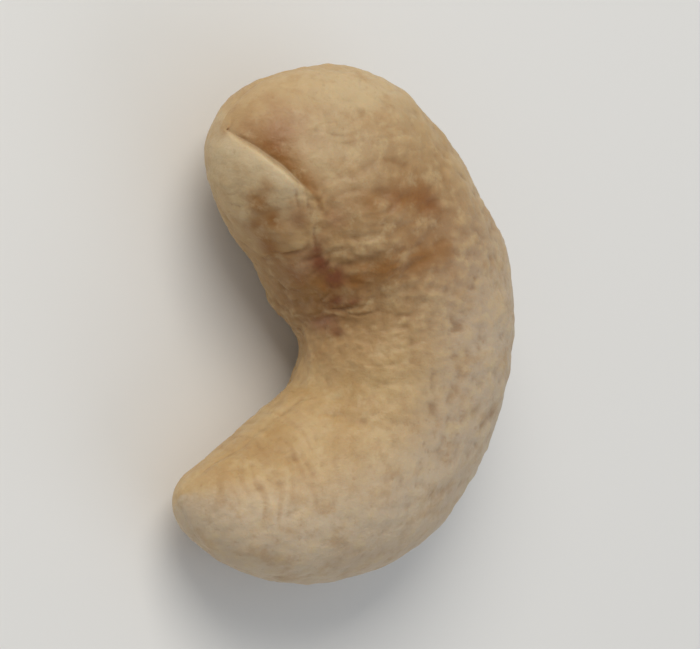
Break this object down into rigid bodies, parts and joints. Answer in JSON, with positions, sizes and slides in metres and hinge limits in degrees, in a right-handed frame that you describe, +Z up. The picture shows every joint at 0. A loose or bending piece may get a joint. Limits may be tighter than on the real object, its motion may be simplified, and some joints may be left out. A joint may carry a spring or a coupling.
{
  "type": "cashew kernel",
  "caption": "Whole shelled cashew kernel, bent like a C, with a broad and a narrow rounded end, a seam groove along its inside and shallow skin creases; a nut for food scenes.",
  "frame": {"origin": "centre of the bounding box in X and Y, on the surface that the kernel lies on", "axes": "+Z up, through the kernel's thickness; +Y along its length towards the broad end; the inside of the bend opens towards -X"},
  "size_m": [0.0184, 0.0258, 0.0109],
  "materials": {
    "kernel_flesh": null
  },
  "bodies": {
    "root": {"kernel": "kernel_flesh"}
  },
  "joints": []
}
